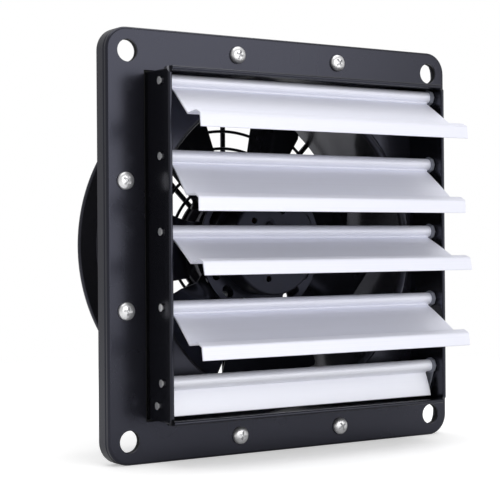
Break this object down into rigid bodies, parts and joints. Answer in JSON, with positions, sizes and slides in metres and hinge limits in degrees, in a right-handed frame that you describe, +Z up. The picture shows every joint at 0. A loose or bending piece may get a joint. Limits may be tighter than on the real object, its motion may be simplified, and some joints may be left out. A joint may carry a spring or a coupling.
{
  "type": "window exhaust fan",
  "caption": "Square flanged window exhaust fan: swinging louvers in a shallow box at the front, an axial fan on its motor in a round duct, and a wire guard behind.",
  "frame": {"origin": "centre of the corner hole pattern at the front plate's front face, on the fan's axis", "axes": "-Y forwards through the louvers along the fan's axis, +X to the right seen from the front, +Z up"},
  "size_m": [0.3, 0.1763, 0.3],
  "materials": {
    "charcoal_paint": "satin powder coat",
    "black_paint": "satin black",
    "motor_paint": "satin dark grey",
    "louver_aluminium": "satin anodised",
    "bush_plastic": "matt",
    "zinc_steel": "bright zinc plate",
    "bearing_steel": "ground",
    "stator_steel": "stamped laminations",
    "copper": "enamelled wire",
    "gasket_foam": "matt",
    "capacitor_shell": "gloss",
    "block_plastic": "matt",
    "lead_insulation": "gloss",
    "gland_plastic": "matt",
    "seal_rubber": "matt"
  },
  "bodies": {
    "root": {"front_plate": "charcoal_paint", "housing_tray": "charcoal_paint", "louver_box": "black_paint", "duct": "black_paint", "flange_gasket": "gasket_foam", "flange_screws": "zinc_steel", "flange_nuts": "zinc_steel", "bottom_slat": "louver_aluminium", "slat_clips": "bush_plastic", "louver_rivets": "zinc_steel", "guard_rings": "black_paint", "guard_spokes": "black_paint", "motor_plate": "black_paint", "guard_screws": "zinc_steel", "motor_base": "motor_paint", "stator_stack": "stator_steel", "stator_windings": "copper", "front_bearing": "bearing_steel", "rear_bearing": "bearing_steel", "capacitor": "capacitor_shell", "terminal_block": "block_plastic", "motor_leads": "lead_insulation", "motor_screws": "zinc_steel", "cable_gland": "gland_plastic", "gland_nut": "gland_plastic", "gland_seal": "seal_rubber"},
    "rotor": {"rotor_cup": "motor_paint", "rotor_core": "stator_steel", "rotor_hub": "bearing_steel", "motor_shaft": "bearing_steel", "shaft_clip": "bearing_steel", "hub_screws": "zinc_steel", "rotor_disc": "black_paint", "blade_carrier": "black_paint", "fan_blade_1": "black_paint", "fan_blade_2": "black_paint", "fan_blade_3": "black_paint", "fan_blade_4": "black_paint", "fan_blade_5": "black_paint", "fan_blade_6": "black_paint", "fan_blade_7": "black_paint", "blade_rivets": "zinc_steel"},
    "louver_body_1": {"louver_1": "louver_aluminium", "louver_1_bushes": "bush_plastic"},
    "louver_body_2": {"louver_2": "louver_aluminium", "louver_2_bushes": "bush_plastic"},
    "louver_body_3": {"louver_3": "louver_aluminium", "louver_3_bushes": "bush_plastic"},
    "louver_body_4": {"louver_4": "louver_aluminium", "louver_4_bushes": "bush_plastic"}
  },
  "joints": [
    {"name": "fan_spin", "type": "hinge", "parent": "root", "child": "rotor", "pos_m": [0, 0, 0], "axis": [0, 1, 0], "continuous": true},
    {"name": "louver_1_swing", "type": "hinge", "parent": "root", "child": "louver_body_1", "pos_m": [0, -0.0206, 0.1118], "axis": [-1, 0, 0], "range_deg": [-46, 8]},
    {"name": "louver_2_swing", "type": "hinge", "parent": "root", "child": "louver_body_2", "pos_m": [0, -0.0206, 0.0606], "axis": [-1, 0, 0], "range_deg": [-41, 13]},
    {"name": "louver_3_swing", "type": "hinge", "parent": "root", "child": "louver_body_3", "pos_m": [0, -0.0206, 0.0094], "axis": [-1, 0, 0], "range_deg": [-52.5, 1.5]},
    {"name": "louver_4_swing", "type": "hinge", "parent": "root", "child": "louver_body_4", "pos_m": [0, -0.0206, -0.0418], "axis": [-1, 0, 0], "range_deg": [-47, 7]}
  ]
}
